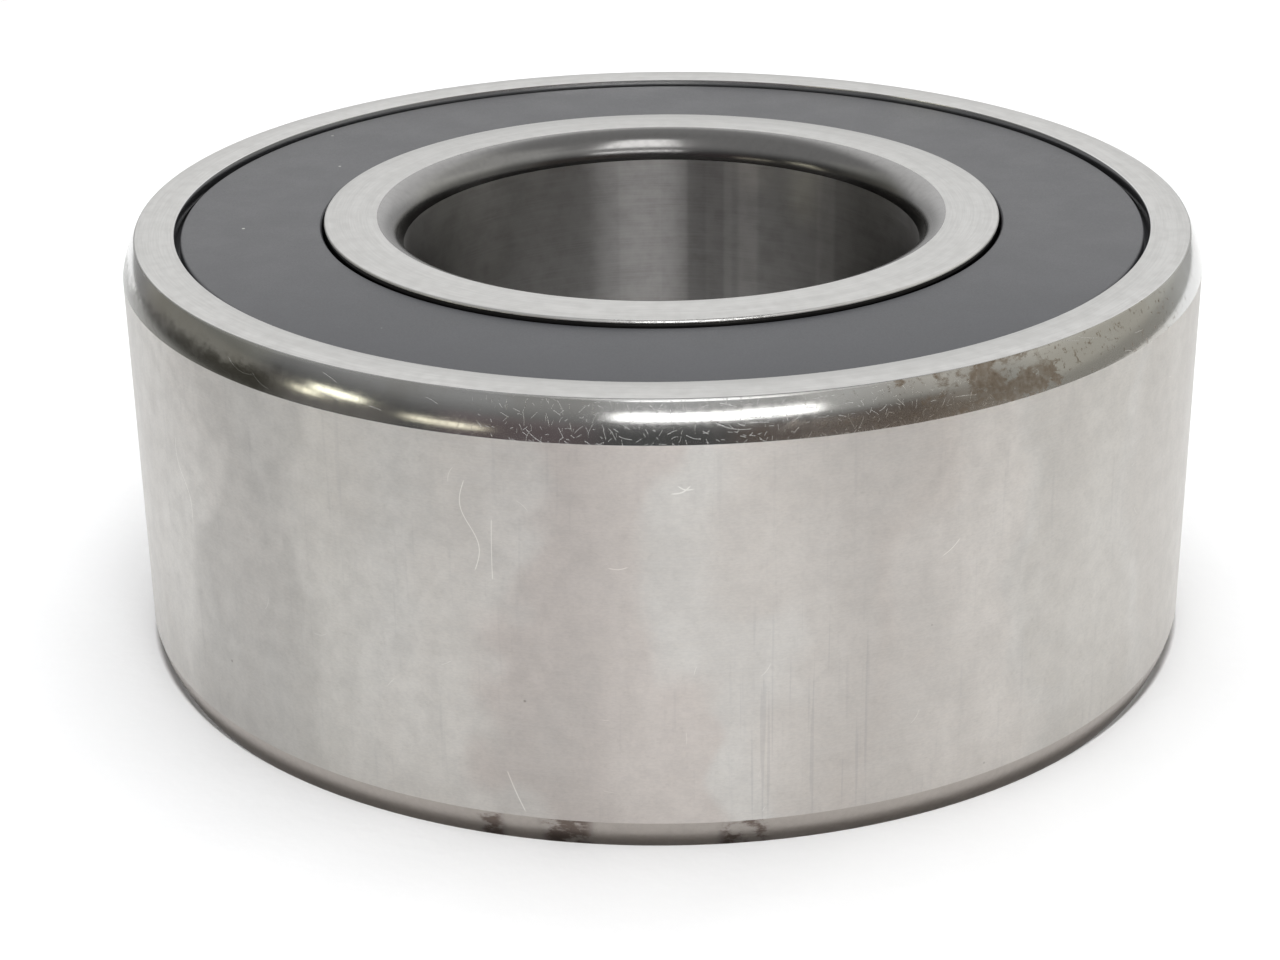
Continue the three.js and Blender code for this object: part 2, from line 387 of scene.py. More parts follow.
# Single bright hairlines on the outside, as scratch() takes them.
HAIRLINES = (
    ((-9.9, 7.9), (-9.4, 3.4), 0.34, 0.035, 2),
    ((-8.5, 6.0), (-8.55, 3.0), 0.02, 0.03, 1),
    ((-8.1, -8.0), (-7.3, -10.0), 0.03, 0.045, 1),
    ((0.5, 7.9), (1.2, 8.2), 0.09, 0.05, 1),
    ((0.8, 8.22), (1.3, 8.1), 0.06, 0.045, 1),
    ((-2.6, 3.9), (-1.9, 3.95), 0.06, 0.035, 1),
    ((14.5, 3.0), (15.3, 3.6), 0.05, 0.03, 1),
    ((-31.0, 5.0), (-29.6, 1.0), 0.3, 0.035, 2),
    ((62.0, -3.0), (64.0, 4.0), 0.4, 0.035, 2),
)


def outside_steel():
    """The ground outside diameter: pale, faintly tarnished in clouds, with fine marks both ways, and upright
    bands of painted reflection round it.
    """
    s = Surface("outside_steel")
    stretched = s.combine(s.x, s.y, s.math("MULTIPLY", s.z, 0.45))
    clouds = s.noise(stretched, 0.16, 4.0, 0.6)
    mottle = s.noise(s.place, 0.9, 5.0, 0.62)
    tarnish = s.noise(s.place, 2.6, 5.0, 0.7)
    marks = s.lines(s.z, 2.2, 14.0)
    upright = s.noise(s.combine(s.x, s.y, s.math("MULTIPLY", s.z, 0.05)), 3.2, 2.0)
    base = s.mix(s.ramp(clouds, 0.35, 0.68), colour(0.62, 0.595, 0.564), colour(0.69, 0.671, 0.640))
    base = s.mix(s.ramp(mottle, 0.35, 0.7, 0.0, 0.26), base, colour(0.52, 0.51, 0.495))
    base = s.mix(s.ramp(tarnish, 0.5, 0.75, 0.0, 0.3), base, colour(0.50, 0.48, 0.45))
    base = s.mix(s.ramp(marks, 0.4, 0.65, 0.0, 0.22), base, colour(0.68, 0.67, 0.65))
    base = s.mix(s.ramp(upright, 0.6, 0.75, 0.0, 0.16), base, colour(0.46, 0.45, 0.45))
    grain = s.noise(s.combine(s.x, s.y, s.math("MULTIPLY", s.z, 2.5)), 4.5, 2.0)
    base = s.mix(s.ramp(grain, 0.35, 0.65), base, colour(0.95, 0.95, 0.955), "MULTIPLY")
    upright_lines = s.combine(s.math("MULTIPLY", s.around(), 4.2), s.math("MULTIPLY", s.z, 0.09), 0.0)
    thin = s.noise(upright_lines, 1.0, 1.0)
    dragged = s.math("MULTIPLY", s.window(s.angle, 8.0, 19.0, 3.0), s.window(s.z, -9.0, -1.0, 4.0))
    drag = s.math("MULTIPLY", s.ramp(thin, 0.60, 0.68), dragged)
    base = s.mix(s.math("MULTIPLY", drag, 0.22), base, colour(0.36, 0.355, 0.37))
    hair = s.math("MULTIPLY", s.dashes(s.z, 4.0, 1.0, 0.025, 0.2, 5), 0.6)
    for line in HAIRLINES:
        hair = s.math("MAXIMUM", hair, s.scratch(*line))
    base = s.mix(s.math("MULTIPLY", hair, 0.7), base, colour(0.90, 0.89, 0.85))
    pits = s.add("ShaderNodeTexVoronoi", {"Vector": s.place, "Scale": 0.24}).outputs["Distance"]
    base = s.mix(s.ramp(pits, 0.010, 0.024, 0.6, 0.0), base, colour(0.24, 0.22, 0.20))
    drift = s.noise(s.place, 0.11, 2.0)
    ragged = s.math("ADD", s.angle, s.ramp(drift, 0.3, 0.7, -5.0, 5.0))
    # Painted reflection: upright bands that make the steel lighter or darker round the ring.
    for across, shade in PAINTED_REFLECTION_BANDS:
        patch = s.math("MULTIPLY", s.window(ragged, *across), s.ramp(clouds, 0.3, 0.55, 0.6, 1.0))
        base = s.mix(patch, base, colour(*shade), "MULTIPLY")
    rough = s.math("ADD", s.ramp(mottle, 0.3, 0.7, 0.385, 0.425), s.math("MULTIPLY", marks, 0.05))
    return s.finish(base, rough, 1.0, marks, 0.0000015, 0.87)


def face_steel():
    """The ground side faces: paler and more matt than the outside, and worn at the inner ring's shoulder."""
    s = Surface("face_steel")
    marks = s.lines(s.r, 1.6, 11.0)
    mottle = s.noise(s.place, 1.3, 4.0, 0.6)
    base = s.mix(s.ramp(marks, 0.35, 0.65), colour(0.64, 0.635, 0.62), colour(0.71, 0.705, 0.69))
    base = s.mix(s.ramp(mottle, 0.4, 0.75, 0.0, 0.35), base, colour(0.61, 0.605, 0.59))
    rough = s.ramp(mottle, 0.3, 0.7, 0.36, 0.44)
    broken = s.ramp(s.noise(s.place, 2.6, 3.0, 0.7), 0.47, 0.53)
    worn = s.math("MULTIPLY", s.window(s.r, SHOULDER - 0.10, SHOULDER + 0.02, 0.04), broken)
    worn = s.math("MULTIPLY", worn, s.window(s.angle, -5.0, 15.0, 5.0))
    rough = s.math("SUBTRACT", rough, s.math("MULTIPLY", worn, 0.28))
    return s.finish(base, rough, 1.0, marks, 0.000001)


def corner_steel():
    """The outer corners: glossy, with crossing scratches and stains above, and dull with dark spots below."""
    s = Surface("corner_steel")
    depth = s.math("SUBTRACT", HALF_WIDTH, s.math("ABSOLUTE", s.z))
    broad = s.noise(s.place, 0.25, 3.0, 0.6)
    patchy = s.noise(s.combine(s.x, s.y, s.math("MULTIPLY", s.z, 1.8)), 0.6, 5.0, 0.68)
    fine = s.noise(s.place, 3.0, 5.0, 0.65)
    marks = s.lines(depth, 1.4, 8.0)
    base = s.mix(s.ramp(broad, 0.38, 0.62), colour(0.50, 0.495, 0.475), colour(0.54, 0.54, 0.53))
    film = s.math("MULTIPLY", s.window(s.angle, 24.0, 56.0, 8.0), s.ramp(broad, 0.3, 0.6, 0.2, 0.5))
    base = s.mix(film, base, colour(0.36, 0.32, 0.26))
    base = s.mix(s.ramp(fine, 0.5, 0.8, 0.0, 0.25), base, colour(0.42, 0.40, 0.37))
    edge = s.math("ADD", depth, s.math("MULTIPLY", s.math("SUBTRACT", patchy, 0.5), 1.6))
    ragged = s.math("ADD", s.angle, s.ramp(patchy, 0.3, 0.7, -4.0, 4.0))
    rust = s.math("MULTIPLY", s.window(ragged, 25.0, 37.0, 2.0), s.ramp(patchy, 0.42, 0.56))
    low_rust = s.math("MULTIPLY", s.window(ragged, 14.0, 35.0, 6.0), s.ramp(edge, 1.1, 1.5))
    rust = s.math("MAXIMUM", rust, s.math("MULTIPLY", low_rust, 0.7))
    heavy = s.math("MULTIPLY", s.window(ragged, 33.8, 37.6, 1.2), s.ramp(edge, 0.3, 0.8))
    islands = s.math("MULTIPLY", s.window(s.angle, 42.0, 62.0, 6.0), s.ramp(fine, 0.56, 0.63))
    heavy = s.math("MAXIMUM", heavy, s.math("MULTIPLY", islands, s.ramp(patchy, 0.46, 0.54, 0.0, 0.8)))
    rust = s.math("MAXIMUM", rust, heavy)
    scale = s.math("MULTIPLY", s.window(s.angle, -100.0, -42.0, 8.0), s.ramp(edge, 0.7, 1.5))
    base = s.mix(scale, base, colour(0.24, 0.235, 0.21), "MULTIPLY")
    thick = s.math("MULTIPLY", rust, s.ramp(fine, 0.25, 0.65, 0.45, 0.85))
    base = s.mix(thick, base, colour(0.20, 0.15, 0.105))
    stain = s.math("MAXIMUM", rust, s.math("MULTIPLY", scale, 0.4))
    pits = s.math("MULTIPLY", s.window(s.angle, 22.0, 66.0, 8.0), s.ramp(fine, 0.62, 0.68))
    base = s.mix(s.math("MULTIPLY", pits, 0.5), base, colour(0.15, 0.12, 0.09))
    below = s.ramp(s.z, 0.0, -1.0)
    dull = s.mix(fine, colour(0.50, 0.465, 0.43), colour(0.38, 0.345, 0.32))
    base = s.mix(below, base, dull)
    spots = s.window(s.angle, -17.5, -16.5, 1.2)
    spots = s.math("MAXIMUM", spots, s.window(s.angle, -11.0, -8.0, 1.5))
    spots = s.math("MAXIMUM", spots, s.window(s.angle, 6.0, 9.0, 1.5))
    spots = s.math("MULTIPLY", s.math("MULTIPLY", spots, below), s.ramp(patchy, 0.40, 0.55))
    base = s.mix(s.math("MULTIPLY", spots, 0.75), base, colour(0.09, 0.055, 0.04))
    hair = s.dashes(depth, 0.34, 0.36, 0.013, 0.6, 1)
    hair = s.math("MAXIMUM", hair, s.dashes(depth, 0.55, 0.8, 0.015, 0.5, 3))
    hair = s.math("MULTIPLY", hair, s.window(s.angle, -9.0, 24.0, 12.0))
    hair = s.math("MAXIMUM", hair, s.dashes(depth, 1.5, 2.4, 0.016, 0.35, 4, 10.0))
    rough = s.ramp(fine, 0.35, 0.7, 0.105, 0.15)
    rough = s.math("ADD", rough, s.ramp(depth, 0.02, 0.14, 0.3, 0.0))
    rough = s.math("ADD", rough, s.math("MULTIPLY", s.math("MAXIMUM", stain, below), 0.2))
    rough = s.math("ADD", rough, s.math("MULTIPLY", hair, 0.05))
    skin = s.math("ADD", s.math("MULTIPLY", fine, 0.12), s.math("MULTIPLY", marks, 0.1))
    return s.finish(base, rough, 1.0, s.math("SUBTRACT", skin, hair), 0.00001)


def bore_corner_steel():
    """The rounded mouth of the bore, polished by fitting, and painted darker the deeper it goes, as shade."""
    s = Surface("bore_corner_steel")
    fine = s.noise(s.place, 2.0, 4.0, 0.6)
    marks = s.lines(s.z, 1.6, 9.0)
    depth = s.math("SUBTRACT", HALF_WIDTH, s.math("ABSOLUTE", s.z))
    # Painted shade: the mouth is painted darker the deeper it goes towards the bore.
    base = s.mix(s.ramp(depth, 0.02, 0.4), colour(0.34, 0.335, 0.33), colour(0.28, 0.275, 0.27))
    base = s.mix(s.ramp(depth, 0.80, 1.30), base, colour(0.13, 0.127, 0.125))
    base = s.mix(s.ramp(fine, 0.4, 0.72, 0.0, 0.6), base, colour(0.88, 0.88, 0.88), "MULTIPLY")
    return s.finish(base, s.ramp(fine, 0.35, 0.7, 0.17, 0.22), 1.0, marks, 0.000001)


# Upright streaks of painted reflection in the bore: low, high and soft edge in degrees round it, then how much
# brighter they are.
BORE_PAINTED_REFLECTIONS = (
    (156.5, 160.0, 1.5, 1.20),
    (134.5, 138.5, 1.5, 1.20),
    (140.0, 162.0, 3.0, 1.08),
    (-164.0, -100.0, 10.0, 0.90),
    (165.0, 173.0, 1.0, 0.82),
    (-179.9, -170.0, 0.8, 1.07),
    (174.5, 179.9, 0.8, 1.03),
    (163.0, 168.5, 1.0, 1.1),
    (40.0, 46.0, 1.5, 1.3),
    (-70.0, -66.0, 1.5, 1.3),
)


def bore_steel():
    """The honed bore: darker, with marks round it that smear reflections along the axis, and upright streaks of
    painted reflection.
    """
    s = Surface("bore_steel")
    marks = s.lines(s.z, 2.0, 12.0)
    mottle = s.noise(s.place, 0.8, 4.0, 0.6)
    base = s.mix(s.ramp(mottle, 0.35, 0.7), colour(0.36, 0.35, 0.34), colour(0.31, 0.30, 0.29))
    base = s.mix(s.ramp(marks, 0.4, 0.65, 0.0, 0.3), base, colour(0.44, 0.43, 0.425))
    # Painted reflection: upright streaks that make the bore lighter or darker round it.
    for low, high, soft, gain in BORE_PAINTED_REFLECTIONS:
        base = s.mix(s.window(s.angle, low, high, soft), base, colour(gain, gain, gain), "MULTIPLY")
    return s.finish(base, s.ramp(marks, 0.35, 0.65, 0.33, 0.37), 1.0, marks, 0.0000015, 1.0)


def raceway_steel():
    """The raceways and grooves inside the bearing, and the shadowed wall of the inner ring's shoulder."""
    s = Surface("raceway_steel")
    marks = s.lines(s.z, 3.0, 18.0)
    base = s.mix(s.ramp(marks, 0.35, 0.65), colour(0.60, 0.60, 0.59), colour(0.68, 0.68, 0.68))
    # Painted shade: the wall of the inner ring's shoulder, just under the side face, is painted nearly black.
    wall = s.window(s.r, SHOULDER - 0.2, SHOULDER + 0.1, 0.1)
    wall = s.math("MULTIPLY", wall, s.ramp(s.math("ABSOLUTE", s.z), HALF_WIDTH - 1.0, HALF_WIDTH - 0.5))
    base = s.mix(wall, base, colour(0.09, 0.085, 0.08))
    return s.finish(base, s.ramp(marks, 0.3, 0.7, 0.10, 0.17), 1.0, marks, 0.000001)


def roller_steel():
    """The rollers: finer than the raceways, with almost no marks."""
    s = Surface("roller_steel")
    speck = s.noise(s.place, 5.0, 4.0, 0.6)
    base = s.mix(s.ramp(speck, 0.4, 0.7), colour(0.68, 0.685, 0.69), colour(0.60, 0.605, 0.61))
    return s.finish(base, s.ramp(speck, 0.3, 0.7, 0.07, 0.15), 1.0, speck, 0.0000008)


def cage_steel():
    """Pressed sheet under a grey phosphate coat."""
    s = Surface("cage_steel")
    grain = s.noise(s.place, 6.0, 5.0, 0.65)
    cloud = s.noise(s.place, 0.5, 3.0)
    base = s.mix(s.ramp(grain, 0.35, 0.7), colour(0.40, 0.39, 0.365), colour(0.30, 0.29, 0.27))
    base = s.mix(s.ramp(cloud, 0.4, 0.7, 0.0, 0.5), base, colour(0.45, 0.43, 0.38))
    return s.finish(base, s.ramp(grain, 0.3, 0.7, 0.38, 0.55), 1.0, grain, 0.000005)


def guide_steel():
    """Sintered iron with open pores."""
    s = Surface("guide_steel")
    pores = s.noise(s.place, 9.0, 5.0, 0.7)
    base = s.mix(s.ramp(pores, 0.42, 0.6), colour(0.34, 0.325, 0.31), colour(0.22, 0.21, 0.20))
    return s.finish(base, s.ramp(pores, 0.3, 0.7, 0.42, 0.62), 1.0, pores, 0.000008)


def stiffener_steel():
    """Bright rolled sheet, with its marks all one way."""
    s = Surface("stiffener_steel")
    marks = s.noise(s.combine(s.math("MULTIPLY", s.x, 0.2), s.math("MULTIPLY", s.y, 4.0), s.z), 1.0, 3.0)
    base = s.mix(s.ramp(marks, 0.4, 0.65), colour(0.50, 0.50, 0.49), colour(0.42, 0.42, 0.41))
    return s.finish(base, s.ramp(marks, 0.3, 0.7, 0.3, 0.42), 1.0, marks, 0.000003)


def seal_rubber():
    """Moulded rubber: smooth and semi-matt, with a little bloom, painted sheen lightening the sides and back,
    and specks of dust.
    """
    s = Surface("seal_rubber")
    grain = s.noise(s.place, 14.0, 3.0, 0.6)
    bloom = s.noise(s.place, 0.35, 4.0, 0.6)
    base = s.mix(s.ramp(bloom, 0.35, 0.7), colour(0.042, 0.044, 0.050), colour(0.050, 0.052, 0.057))
    # Painted sheen: the rubber is painted lighter towards the sides and back.
    painted_sheen = s.ramp(s.math("ABSOLUTE", s.angle), 35.0, 80.0)
    base = s.mix(painted_sheen, base, colour(0.062, 0.063, 0.068))
    cells = s.add("ShaderNodeTexVoronoi", {"Vector": s.place, "Scale": 0.42}, feature="F1")
    specks = s.ramp(cells.outputs["Distance"], 0.035, 0.05, 1.0, 0.0)
    specks = s.math("MULTIPLY", specks, s.ramp(cells.outputs["Color"], 0.62, 0.66))
    base = s.mix(specks, base, colour(0.42, 0.42, 0.40))
    rough = s.math("ADD", s.ramp(grain, 0.3, 0.7, 0.36, 0.44), s.ramp(bloom, 0.3, 0.7, 0.0, 0.05))
    return s.finish(base, rough, 0.0, grain, 0.000003, specular=0.62)


# ---------------------------------------------------------------- the pieces

def at_roller(u, v):
    """The point u along and v across an upper roller, counted from its centre."""
    return tuple(ACROSS * (CENTRE_DISTANCE + v) + ALONG * u)


def settle(piece, body, node, materials):
    """Gives a piece its materials, hangs it on the empty of the body it rides on, and hides the CAD part it
    stands for.
    """
    for material in materials:
        piece.data.materials.append(material)
    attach(piece, body)
    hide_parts(node)


def outer_ring():
    """Raceway, seal groove, side face and corner from the middle plane up, and the same below."""
    steps = 22
    raceway = []
    for i in range(steps + 1):
        z = RACEWAY_END * i / steps
        raceway.append((math.sqrt(RACEWAY ** 2 - z * z), z))
    groove = [
        (raceway[-1][0], GROOVE_LOW), (GROOVE_FLOOR, GROOVE_LOW), (GROOVE_FLOOR, GROOVE_HIGH),
        (FACE_INNER, GROOVE_LIP), (FACE_INNER, HALF_WIDTH),
    ]
    corner_start = (OUTER_RADIUS - CORNER_RADIAL, HALF_WIDTH)
    corner = arc(corner_start, (OUTER_RADIUS, HALF_WIDTH - CORNER_AXIAL), CORNER_ARC, 1, 12)
    upper = raceway + groove + corner
    points = mirrored(upper[1:]) + upper
    rounding = {}
    for i, (r, z) in enumerate(points):
        height = abs(z)
        on_face = abs(height - HALF_WIDTH) < TINY
        if on_face and abs(r - FACE_INNER) < TINY:
            rounding[i] = 0.06
        elif on_face or abs(r - OUTER_RADIUS) < TINY:
            rounding[i] = 0.1
        elif RACEWAY_END + 0.1 < height < GROOVE_LIP + 0.05 and r < GROOVE_FLOOR + 0.2:
            rounding[i] = 0.08
    points = softened(points, rounding)

    def zones(r, z):
        # 0 is the outside, 1 a side face, 2 a corner and 3 the inside.
        height = abs(z)
        if r > OUTER_RADIUS - SKIN:
            return 0
        if height > HALF_WIDTH - SKIN:
            return 1
        if r > OUTER_RADIUS - CORNER_RADIAL and height > HALF_WIDTH - CORNER_AXIAL - 0.01:
            return 2
        return 3

    return lathe("outer_ring_body", points, 256, 24, zones)


def inner_ring():
    """Raceway, shoulder, side face and mouth of the upper half, and the same below."""
    centre = ACROSS * (CENTRE_DISTANCE - ROLLER_RADIUS - RUNNING_GAP + INNER_RACEWAY)
    low, high = INNER_RACEWAY_ENDS
    steps = 16
    raceway = []
    for i in range(steps + 1):
        u = low + (high - low) * i / steps
        raceway.append(tuple(centre - ACROSS * math.sqrt(INNER_RACEWAY ** 2 - u * u) + ALONG * u))
    foot = Vector(raceway[-1])
    top = foot + ACROSS * ((SHOULDER - foot.x) / ACROSS.x)
    face = [tuple(top), (SHOULDER, HALF_WIDTH)]
    mouth_start = (BORE_RADIUS + MOUTH_RADIAL, HALF_WIDTH)
    mouth = arc(mouth_start, (BORE_RADIUS, HALF_WIDTH - MOUTH_AXIAL), MOUTH_ARC, -1, 18)
    upper = raceway + face + mouth
    points = mirrored(upper) + upper
    rounding = {}
    for i, (r, z) in enumerate(points):
        on_face = abs(abs(z) - HALF_WIDTH) < TINY
        on_shoulder = abs(r - SHOULDER) < TINY
        if on_face and on_shoulder:
            rounding[i] = 0.14
        elif on_face or abs(r - BORE_RADIUS) < TINY:
            rounding[i] = 0.25
        elif on_shoulder:
            rounding[i] = 0.1
    points = softened(points, rounding, 4)

    def zones(r, z):
        # 0 is the bore, 1 a side face, 2 the bore's mouth and 3 the raceways and shoulders.
        height = abs(z)
        if height > HALF_WIDTH - 0.13 and r > BORE_RADIUS + MOUTH_RADIAL - 0.02:
            return 1
        if r < BORE_RADIUS + SKIN:
            return 0
        if r < BORE_RADIUS + MOUTH_RADIAL and height > HALF_WIDTH - MOUTH_AXIAL:
            return 2
        return 3

    return lathe("inner_ring_body", points, 224, 24, zones)


def guide_ring():
    """Its sides are cones, square to the rollers' axes."""
    base = Vector(at_roller(GUIDE_SIDE, 0))

    def side(r):
        return base.y + (r - base.x) * ACROSS.y / ACROSS.x

    bore = SHOULDER + GUIDE_GAP
    upper = [(GUIDE_RADIUS, side(GUIDE_RADIUS)), (bore, side(bore))]
    points = mirrored(upper) + upper
    return lathe("guide_ring_body", softened(points, {i: 0.12 for i in range(4)}, 4), 192)


def seal_outline():
    """The upper seal: two lips at the shoulder, a recess for the washer, and a bead for the ring's groove."""
    face = HALF_WIDTH - SEAL_RECESS
    low = SEAL_UNDERSIDE
    pocket = WASHER_TOP + 0.05
    lips = [
        (SEAL_LIP + 0.1, face), (SEAL_LIP, face - 0.1), (SEAL_LIP, face - 0.45),
        (SEAL_LIP + 0.4, face - 0.9), (SEAL_LIP + 0.06, face - 1.3), (SEAL_LIP + 0.55, low),
    ]
    near = WASHER_INNER - 0.1
    far = WASHER_OUTER + 0.1
    recess = [(near, low), (near, pocket), (far, pocket), (far, low)]
    bead = [(28.5, low), (28.55, 11.2), (27.66, 11.5), (27.66, face)]
    sizes = (0.06, 0.06, 0.12, 0.2, 0.08, 0.1, 0.08, 0.05, 0.05, 0.08, 0.15, 0.15, 0.1, 0.16)
    return softened(lips + recess + bead, dict(enumerate(sizes)), 4)


def washer_outline():
    """The upper seal's washer, which lies in the seal's recess."""
    low = [(WASHER_INNER, SEAL_UNDERSIDE), (WASHER_OUTER, SEAL_UNDERSIDE)]
    high = [(WASHER_OUTER, WASHER_TOP), (WASHER_INNER, WASHER_TOP)]
    return softened(low + high, {i: 0.06 for i in range(4)}, 2)


def roller_outline():
    """A barrel with a shallow dish in each end, about Z."""
    steps = 12
    side = []
    for i in range(steps + 1):
        u = -ROLLER_BARREL_END + 2 * ROLLER_BARREL_END * i / steps
        side.append((ROLLER_RADIUS - ROLLER_BARREL + math.sqrt(ROLLER_BARREL ** 2 - u * u), u))
    flat = side[0][0] - 0.45
    dish = flat - 0.9
    end = ROLLER_HALF_LENGTH
    floor = end - 0.1
    points = [(0, -floor), (dish - 0.25, -floor), (dish, -end), (flat, -end)] + side
    points += [(flat, end), (dish, end), (dish - 0.25, floor), (0, floor)]
    last = len(points) - 4
    return softened(points, {3: 0.15, 4: 0.15, last: 0.15, last - 1: 0.15}, 3)


def roller_place(i, side):
    """Where roller i of a row sits. side is 1 for the upper row and -1 for the lower, half a pitch on."""
    angle = (i + (0 if side > 0 else 0.5)) * 2 * math.pi / ROLLERS_PER_ROW
    spot = Vector((CENTRE_DISTANCE * ACROSS.x, 0, side * CENTRE_DISTANCE * ACROSS.y)) * MM
    seat = Matrix.Translation(spot) @ Matrix.Rotation(-side * CONTACT, 4, "Y")
    return Matrix.Rotation(angle, 4, "Z") @ seat


def cage(name, side):
    """A cone of sheet with a flange turned in at its outer end, bored by one cutter for each roller."""
    inside = 0.9
    outside = 1.8
    flange = -1.8
    upper = [
        at_roller(-4.6, inside), at_roller(-4.6, outside), at_roller(3.8, outside),
        at_roller(4.5, inside), at_roller(4.5, flange), at_roller(3.8, flange), at_roller(3.8, inside),
    ]
    outline = softened(upper, {0: 0.2, 1: 0.2, 2: 0.5, 3: 0.5, 4: 0.2, 5: 0.2, 6: 0.12}, 4)
    shell = lathe(name, outline if side > 0 else mirrored(outline), 240)
    radius = (ROLLER_RADIUS + WINDOW_GAP) * MM
    depth = 2 * WINDOW_HALF_LENGTH * MM
    bm = bmesh.new()
    for i in range(ROLLERS_PER_ROW):
        bmesh.ops.create_cone(
            bm, cap_ends=True, segments=64, radius1=radius, radius2=radius, depth=depth,
            matrix=roller_place(i, side),
        )
    mesh = bpy.data.meshes.new("cutters")
    bm.to_mesh(mesh)
    bm.free()
    cutters = bpy.data.objects.new("cutters", mesh)
    scene.collection.objects.link(cutters)
    cut = shell.modifiers.new("pockets", "BOOLEAN")
    cut.object = cutters
    cut.operation = "DIFFERENCE"
    cut.solver = "EXACT"
    bpy.context.view_layer.update()
    result = shell.evaluated_get(bpy.context.evaluated_depsgraph_get())
    cut_mesh = bpy.data.meshes.new_from_object(result)
    shell.modifiers.clear()
    shell.data = cut_mesh
    bpy.data.objects.remove(cutters)
    bm = bmesh.new()
    bm.from_mesh(cut_mesh)
    bmesh.ops.remove_doubles(bm, verts=bm.verts, dist=0.002 * MM)
    bmesh.ops.dissolve_degenerate(bm, edges=bm.edges, dist=0.002 * MM)
    for face in bm.faces:
        face.smooth = True
    for edge in bm.edges:
        edge.smooth = len(edge.link_faces) == 2 and edge.calc_face_angle(0) < math.radians(28)
    bm.to_mesh(cut_mesh)
    bm.free()
    return shell


def build():
    outside = outside_steel()
    face = face_steel()
    corner = corner_steel()
    raceway = raceway_steel()
    bore = bore_steel()
    mouth = bore_corner_steel()
    rubber = seal_rubber()
    sheet = stiffener_steel()
    pressed = cage_steel()
    polished = roller_steel()
    settle(outer_ring(), "outer_ring", "outer_ring", [outside, face, corner, raceway])
    settle(inner_ring(), "inner_ring", "inner_ring", [bore, face, mouth, raceway])
    settle(guide_ring(), "guide_ring", "guide_ring", [guide_steel()])
    for row, side in ROWS:
        cover_points = seal_outline()
        washer_points = washer_outline()
        if side < 0:
            cover_points = mirrored(cover_points)
            washer_points = mirrored(washer_points)
        cover = lathe(f"{row}_seal_rubber", cover_points, 224)
        settle(cover, "outer_ring", f"{row}_seal", [rubber])
        washer = lathe(f"{row}_seal_washer", washer_points, 160)
        settle(washer, "outer_ring", f"{row}_seal_stiffener", [sheet])
        settle(cage(f"{row}_cage_pressing", side), f"{row}_cage", f"{row}_cage", [pressed])
        for i in range(ROLLERS_PER_ROW):
            node = f"{row}_roller_{i + 1:02d}"
            barrel = lathe(f"{node}_barrel", roller_outline(), 48, 30)
            barrel.data.transform(roller_place(i, side))
            settle(barrel, node, node, [polished])


build()


# ---------------------------------------------------------------- table and light

def add_table():
    """A soft white sheet. The bearing's weight presses it in a little, so it stands higher round the ring."""
    rise = 0.86
    slope = 0.95
    edge = OUTER_RADIUS - CORNER_RADIAL
    profile = [(0, 0), (edge - 0.05, 0)]
    for i in range(9):
        t = i / 8
        profile.append((edge + slope * t, rise * (3 * t * t - 2 * t ** 3)))
    profile += [(60, rise), (175, rise)]
    mesh = bpy.data.meshes.new("table")
    bm = bmesh.new()
    segments = 160
    centre = bm.verts.new((0, 0, 0))
    last = None
    for r, z in profile[1:]:
        ring = []
        for k in range(segments):
            turn = 2 * math.pi * k / segments
            ring.append(bm.verts.new((r * math.cos(turn) * MM, r * math.sin(turn) * MM, z * MM)))
        for k in range(segments):
            n = (k + 1) % segments
            corners = [last[k], ring[k], ring[n], last[n]] if last else [centre, ring[k], ring[n]]
            bm.faces.new(corners).smooth = True
        last = ring
    bm.to_mesh(mesh)
    bm.free()
    table = bpy.data.objects.new("table", mesh)
    table.location.z = -HALF_WIDTH * MM
    scene.collection.objects.link(table)
    material = bpy.data.materials.new("table")
    material.use_nodes = True
    g = Graph(material.node_tree)
    place = g.add("ShaderNodeTexCoord").outputs["Object"]
    creases = g.noise(place, 26.0, 3.0, 0.6)
    grain = g.noise(place, 900.0, 2.0, 0.5)
    height = g.math("ADD", creases, g.math("MULTIPLY", grain, 0.04))
    bump = g.add("ShaderNodeBump", {"Height": height, "Strength": 1.0, "Distance": 0.0012}).outputs[0]
    settings = {"Base Color": colour(0.93, 0.935, 0.945), "Roughness": 0.85, "Normal": bump}
    shader = g.add("ShaderNodeBsdfPrincipled", settings)
    g.add("ShaderNodeOutputMaterial", {"Surface": shader.outputs[0]})
    mesh.materials.append(material)


def add_ceiling_light():
    """A wide soft light overhead, which lights the sheet and the rubber but isn't reflected in the steel."""
    data = bpy.data.lights.new("ceiling", "AREA")
    data.shape = "SQUARE"
    data.size = 1.1
    data.energy = 5.9
    lamp = bpy.data.objects.new("ceiling", data)
    lamp.location = (0, -0.05, 0.75)
    lamp.visible_glossy = False
    lamp.visible_camera = False
    scene.collection.objects.link(lamp)


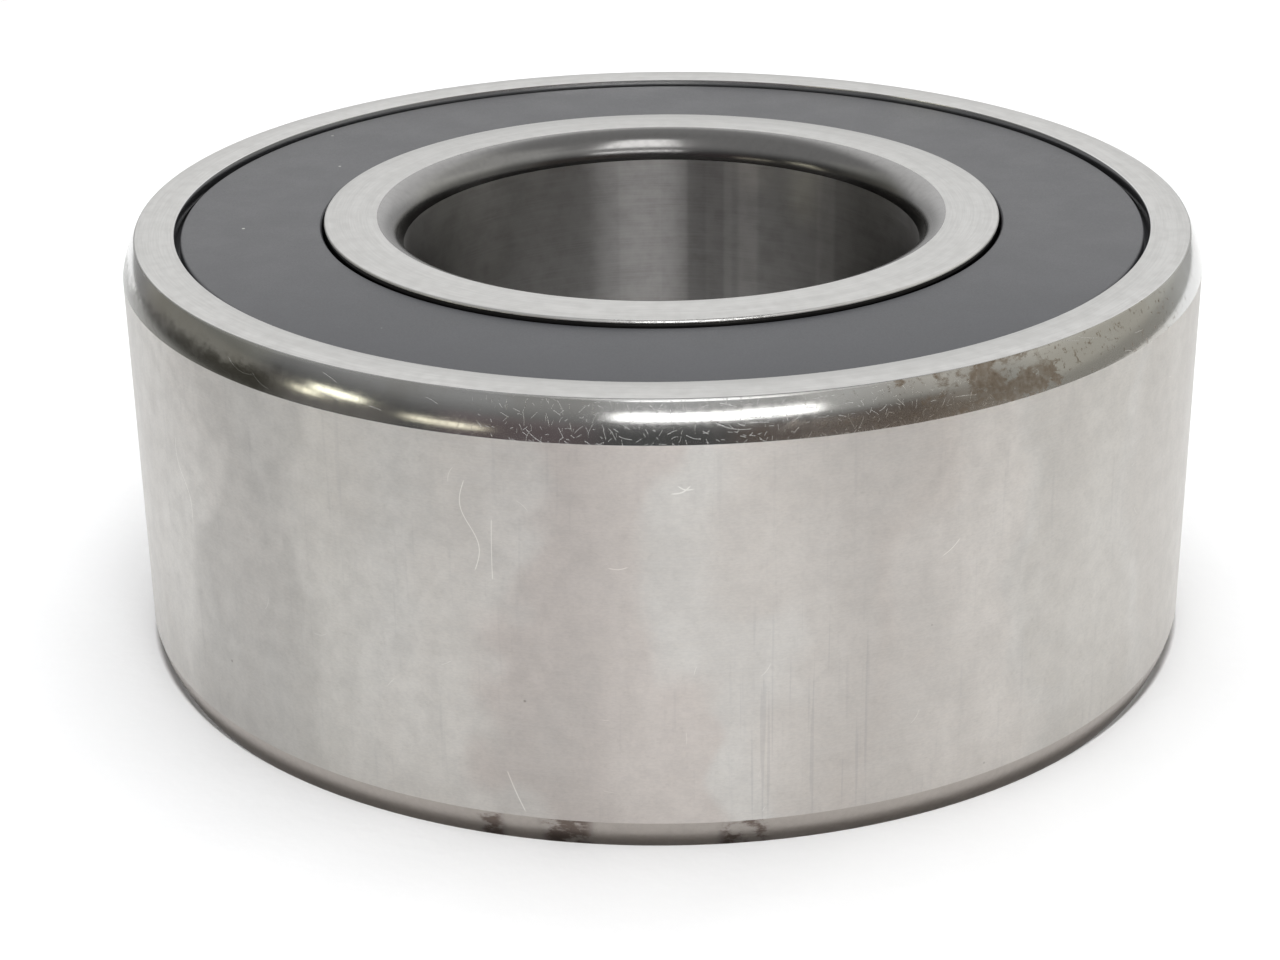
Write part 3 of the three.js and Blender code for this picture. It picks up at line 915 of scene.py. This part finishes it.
# Each patch of light: azimuth from the front towards the right and height above the horizon, in degrees, as
# (low, high, soft edge), then the colour added there. A negative colour takes light away.
PATCHES = (
    ((-7, 29, 5.0), (21, 25, 2.0), (4.6, 4.6, 4.6)),
    ((-12, 33, 5), (30, 40, 4), (0.10, 0.10, 0.10)),
    ((-8, 30, 3.0), (40, 68, 3), (2.2, 2.2, 2.2)),
    ((34, 60, 8), (20, 40, 6), (0.24, 0.24, 0.23)),
    ((-77, -73, 3), (5, 6, 2), (2.2, 2.1, 1.6)),
    ((-72, -64, 4), (9, 11, 2), (3.3, 3.2, 2.5)),
    ((-49, -38, 5), (5.5, 7, 1.8), (1.9, 1.8, 1.4)),
    ((70, 130, 22), (-4, 50, 12), (0.34, 0.34, 0.32)),
    ((85, 130, 12), (4, 26, 6), (0.22, 0.22, 0.20)),
    ((-130, -92, 8), (2, 30, 8), (0.10, 0.10, 0.08)),
    ((-40, -18, 9), (-6, 14, 6), (0.06, 0.03, 0.035)),
    ((18, 60, 8), (-6, 12, 6), (0.06, 0.03, 0.015)),
    ((-130, -60, 10), (-6, 8, 5), (0.08, 0.07, 0.06)),
)


def add_light():
    """A studio all round: darker in front, bright behind, with the patches. The camera sees plain white."""
    world = bpy.data.worlds.new("studio")
    scene.world = world
    world.use_nodes = True
    g = Graph(world.node_tree)
    direction = g.add("ShaderNodeTexCoord").outputs["Generated"]
    x, y, z = g.add("ShaderNodeSeparateXYZ", {0: direction}).outputs
    degrees = 180 / math.pi
    height = g.math("MULTIPLY", g.math("ARCSINE", z), degrees)
    azimuth = g.math("MULTIPLY", g.math("ARCTAN2", x, g.math("MULTIPLY", y, -1.0)), degrees)
    behind = g.ramp(g.math("ABSOLUTE", azimuth), 122.0, 150.0)
    front = g.ramp(height, 8.0, 32.0, 0.11, 0.42)
    rear = g.math("ADD", g.ramp(height, 2.0, 22.0, 0.46, 1.04), g.ramp(height, 40.0, 60.0, 0.0, -0.62))
    level = g.add("ShaderNodeMix", {0: behind, 2: front, 3: rear}, data_type="FLOAT").outputs[0]
    light = g.combine(level, level, level)
    for across, up, tone in PATCHES:
        shape = g.math("MULTIPLY", g.window(azimuth, *across), g.window(height, *up))
        glow = g.add("ShaderNodeVectorMath", {0: tone, "Scale": shape}, operation="SCALE").outputs[0]
        light = g.add("ShaderNodeVectorMath", {0: light, 1: glow}, operation="ADD").outputs[0]
    seen = g.add("ShaderNodeLightPath").outputs["Is Camera Ray"]
    plain = g.mix(seen, light, colour(1.0, 1.0, 1.0))
    background = g.add("ShaderNodeBackground", {"Color": plain, "Strength": 1.0})
    g.add("ShaderNodeOutputWorld", {"Surface": background.outputs[0]})


add_table()
add_ceiling_light()
add_light()
scene.view_settings.view_transform = "Standard"
scene.view_settings.look = "None"
